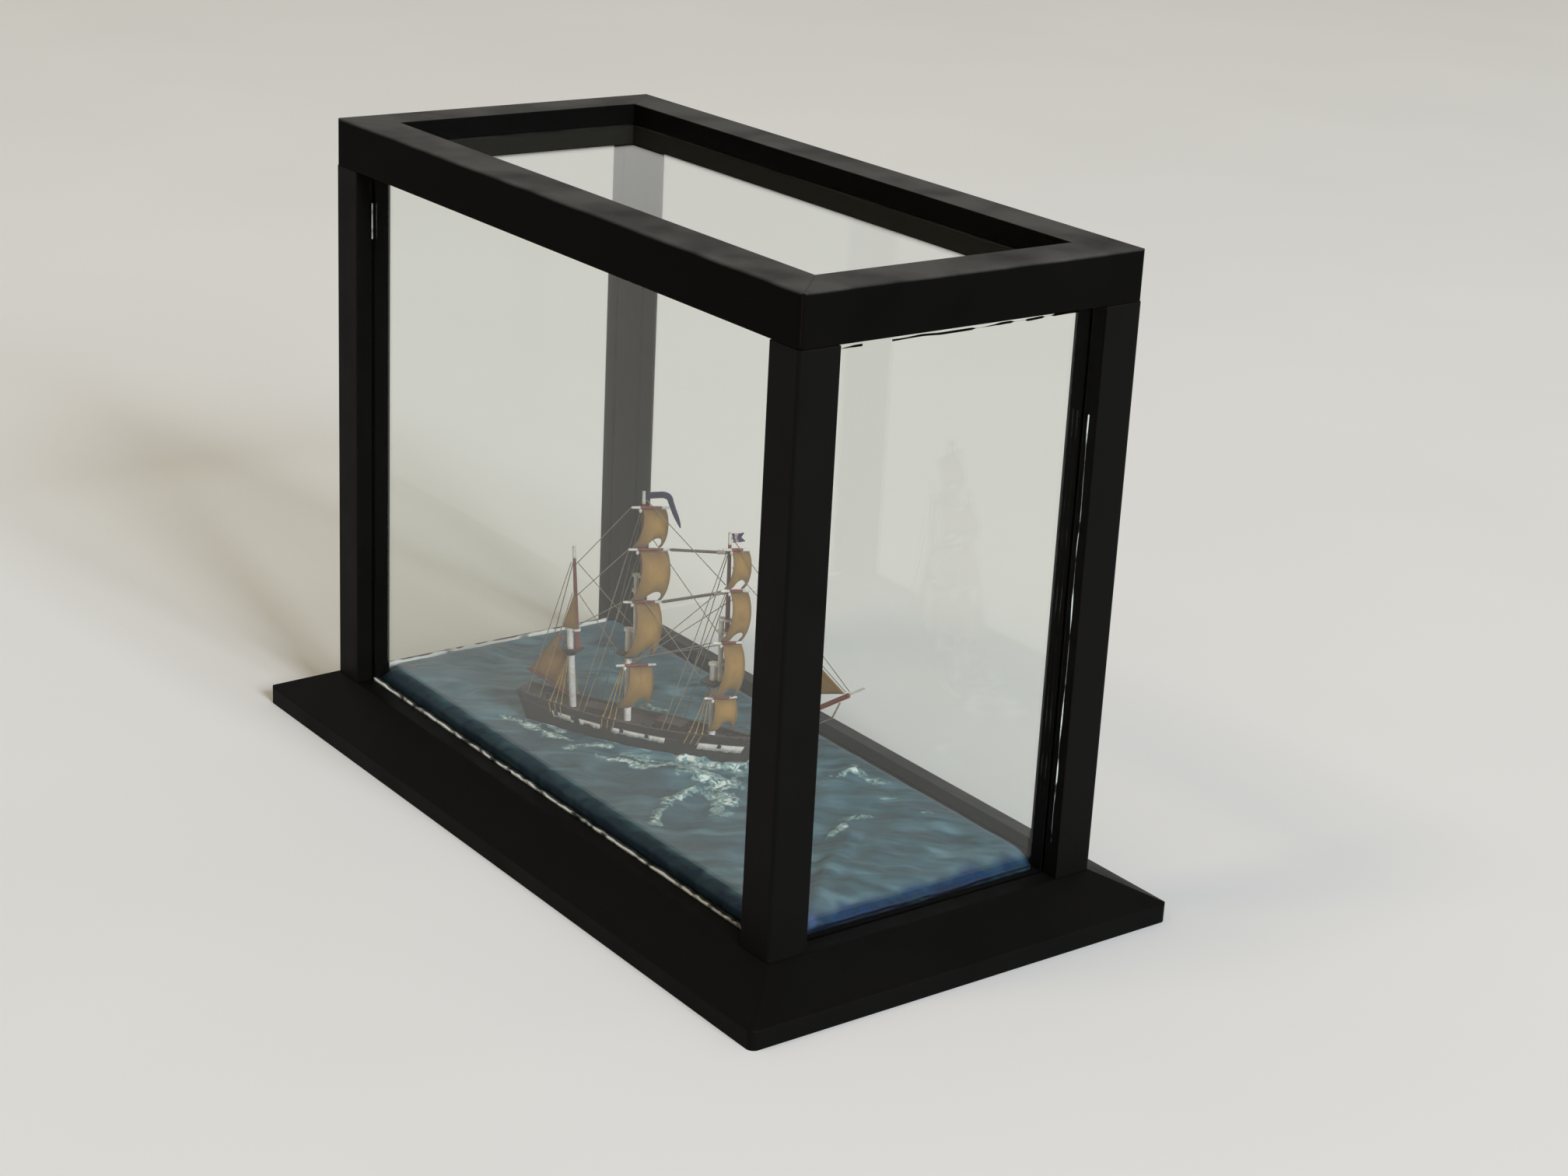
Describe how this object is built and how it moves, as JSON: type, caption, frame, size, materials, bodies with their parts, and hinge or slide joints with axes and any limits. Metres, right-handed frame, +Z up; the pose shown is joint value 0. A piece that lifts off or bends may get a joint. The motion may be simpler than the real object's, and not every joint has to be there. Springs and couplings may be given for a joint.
{
  "type": "cased model sailing ship",
  "caption": "Waterline model of a barque under square sail on a carved painted sea, shown in a glazed black wooden case on a plinth with a lift-off glazed lid.",
  "frame": {"origin": "middle of the plinth's underside, on the surface it stands on", "axes": "+X along the long front of the case to the viewer's right, front at -Y, +Z up"},
  "size_m": [0.345, 0.186, 0.247],
  "materials": {
    "ebonised_wood": "black paint worn brown at the edges, satin",
    "window_glass": "clear drawn window glass",
    "screw_steel": "plain steel wood screws",
    "painted_sea": "carved block under grey-blue paint with off-white crests",
    "hull_paint": "dark brown paint, matt",
    "deck_wood": "pale bare wood, aged",
    "white_paint": "off-white paint, worn",
    "stained_spar_wood": "reddish brown stain",
    "dark_spar_wood": "dark brown paint",
    "sail_sheet": "stiff tan sheet, matt",
    "flag_paper": "dark painted paper",
    "rigging_thread": "waxed thread"
  },
  "bodies": {
    "case": {"base_plinth": "ebonised_wood", "post_front_left": "ebonised_wood", "post_front_right": "ebonised_wood", "post_back_left": "ebonised_wood", "post_back_right": "ebonised_wood", "post_screws": "screw_steel", "pane_front": "window_glass", "pane_back": "window_glass", "pane_left": "window_glass", "pane_right": "window_glass", "sea": "painted_sea", "hull": "hull_paint", "deck": "deck_wood", "port_strips": "white_paint", "deck_houses": "deck_wood", "fore_lower_mast": "white_paint", "fore_topmast": "stained_spar_wood", "fore_topgallant_mast": "stained_spar_wood", "main_lower_mast": "white_paint", "main_topmast": "stained_spar_wood", "main_topgallant_mast": "stained_spar_wood", "mizzen_lower_mast": "white_paint", "mizzen_topmast": "stained_spar_wood", "fore_top": "dark_spar_wood", "main_top": "dark_spar_wood", "mizzen_top": "dark_spar_wood", "mast_caps": "white_paint", "bowsprit": "stained_spar_wood", "jib_boom": "dark_spar_wood", "fore_course_yard": "stained_spar_wood", "fore_topsail_yard": "stained_spar_wood", "fore_topgallant_yard": "stained_spar_wood", "fore_royal_yard": "stained_spar_wood", "main_course_yard": "stained_spar_wood", "main_topsail_yard": "stained_spar_wood", "main_topgallant_yard": "stained_spar_wood", "main_royal_yard": "stained_spar_wood", "fore_course": "sail_sheet", "fore_topsail": "sail_sheet", "fore_topgallant": "sail_sheet", "fore_royal": "sail_sheet", "main_course": "sail_sheet", "main_topsail": "sail_sheet", "main_topgallant": "sail_sheet", "main_royal": "sail_sheet", "spanker_boom": "stained_spar_wood", "spanker_gaff": "stained_spar_wood", "spanker": "sail_sheet", "gaff_topsail": "sail_sheet", "jib": "sail_sheet", "pennant": "flag_paper", "flag": "flag_paper", "shrouds": "rigging_thread", "stays": "rigging_thread", "braces": "rigging_thread"},
    "lid": {"lid_rail_front": "ebonised_wood", "lid_rail_back": "ebonised_wood", "lid_rail_left": "ebonised_wood", "lid_rail_right": "ebonised_wood", "lid_glass": "window_glass"}
  },
  "joints": [
    {"name": "lid_lift", "type": "slide", "parent": "case", "child": "lid", "axis": [0, 0, 1], "range_m": [0, 0.1]}
  ]
}
